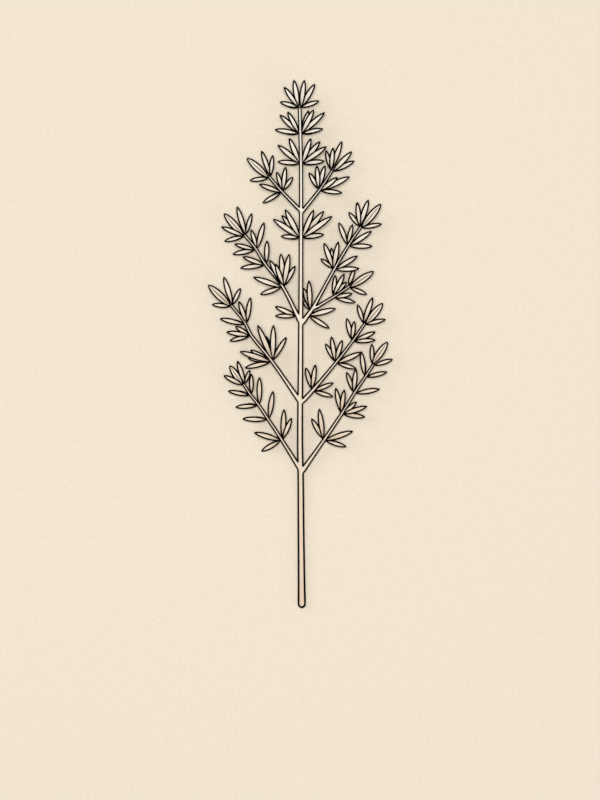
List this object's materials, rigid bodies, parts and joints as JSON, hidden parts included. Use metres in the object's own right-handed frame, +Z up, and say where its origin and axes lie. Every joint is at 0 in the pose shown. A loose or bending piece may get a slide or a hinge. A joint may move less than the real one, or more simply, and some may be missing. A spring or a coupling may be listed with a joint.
{
  "type": "thyme sprig",
  "caption": "Cut sprig of thyme lying flat: a bare lower stem, whorls of small narrow leaves near the top and paired leafy side shoots that fan out on both sides.",
  "frame": {"origin": "middle of the underside of the sprig's box, on the surface that it lies on", "axes": "+Y along the main stem from the cut end to the leafy tip, +Z up from the surface, +X to the right of the stem seen from above with the tip away"},
  "size_m": [0.0558, 0.1586, 0.0089],
  "materials": {
    "stem": "pale dry stem with dark corner ridges, matte",
    "leaf": "ivory leaf with a dark rolled edge, matte and slightly velvety"
  },
  "bodies": {
    "root": {"main_stem": "stem", "shoot_top_left": "leaf", "shoot_top_right": "leaf", "shoot_upper_left": "leaf", "shoot_upper_right": "leaf", "shoot_middle_left": "leaf", "shoot_middle_right": "leaf", "shoot_lower_left": "leaf", "shoot_lower_right": "leaf"}
  },
  "joints": []
}
